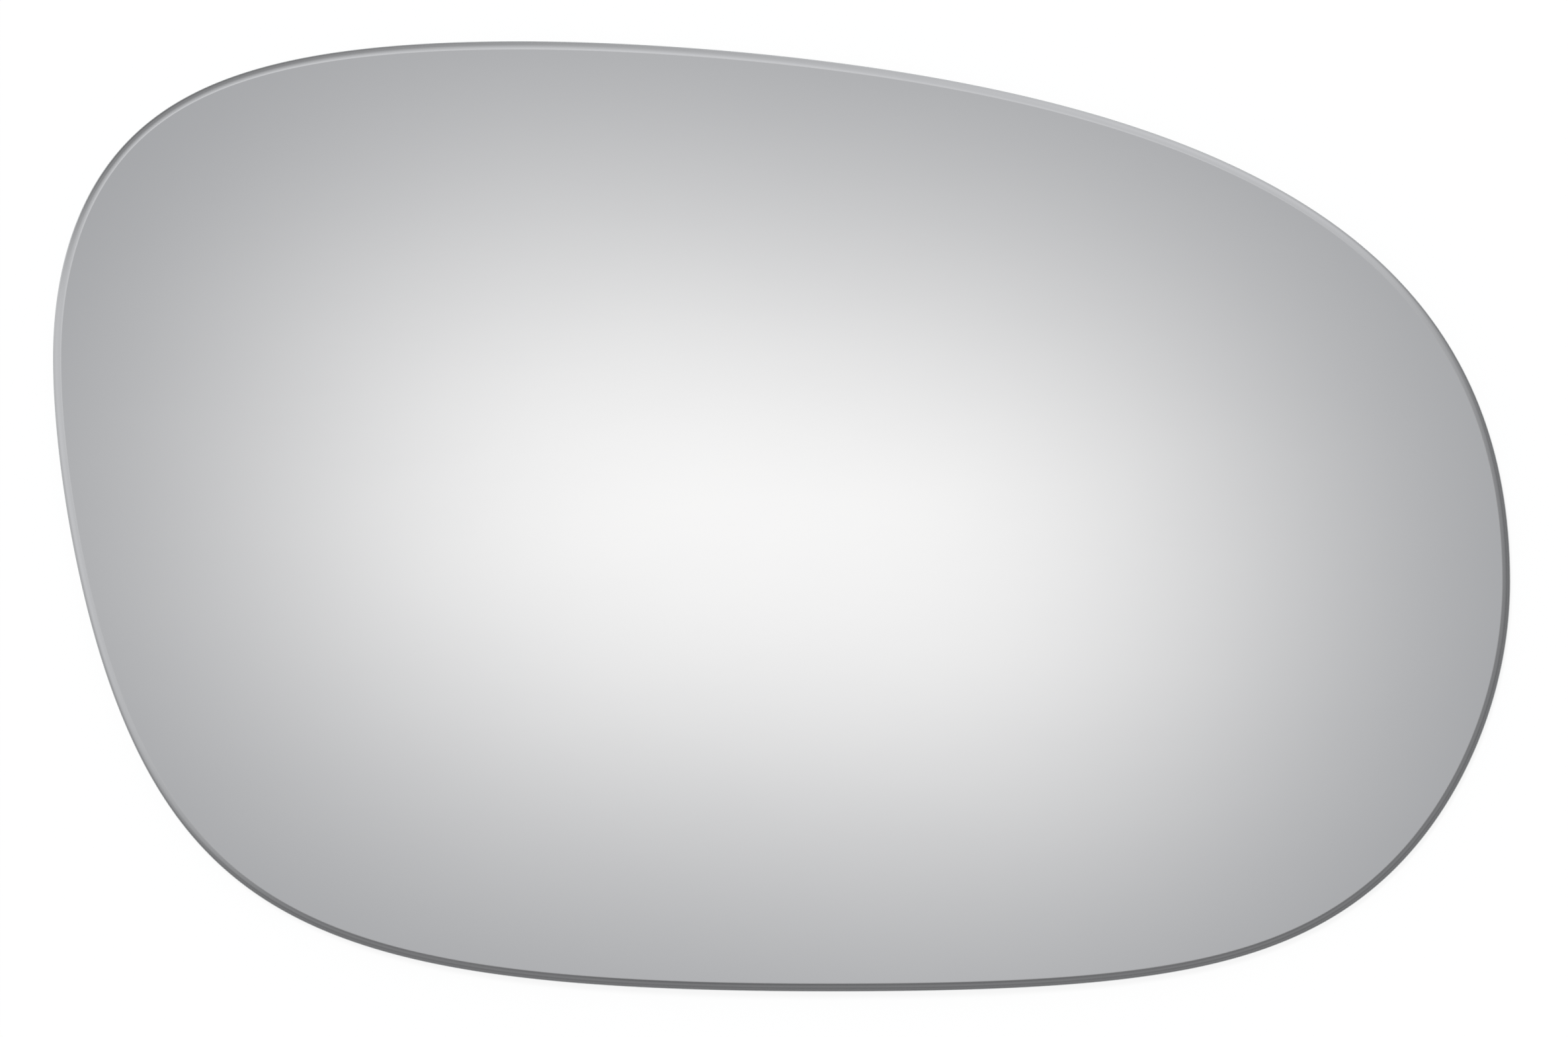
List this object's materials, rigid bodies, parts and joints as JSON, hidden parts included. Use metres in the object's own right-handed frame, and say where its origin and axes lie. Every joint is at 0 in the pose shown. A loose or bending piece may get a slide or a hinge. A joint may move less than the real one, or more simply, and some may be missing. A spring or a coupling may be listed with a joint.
{
  "type": "car door mirror glass",
  "caption": "Shallow domed mirror glass for a car door mirror: a rounded, lopsided outline, a ground edge with a rounded slope along both rims, and a silvered, painted back that bonds to a holder.",
  "frame": {"origin": "middle of the box around the outline, at the height of the lowest point of the rim", "axes": "+X along the length towards the broad rounded end, +Y up the face, +Z out of the reflecting face"},
  "size_m": [0.172, 0.112, 0.0049],
  "materials": {
    "mirror": "clear glass silvered and painted on the back, with a satin ground edge"
  },
  "bodies": {
    "root": {"mirror_glass": "mirror"}
  },
  "joints": []
}
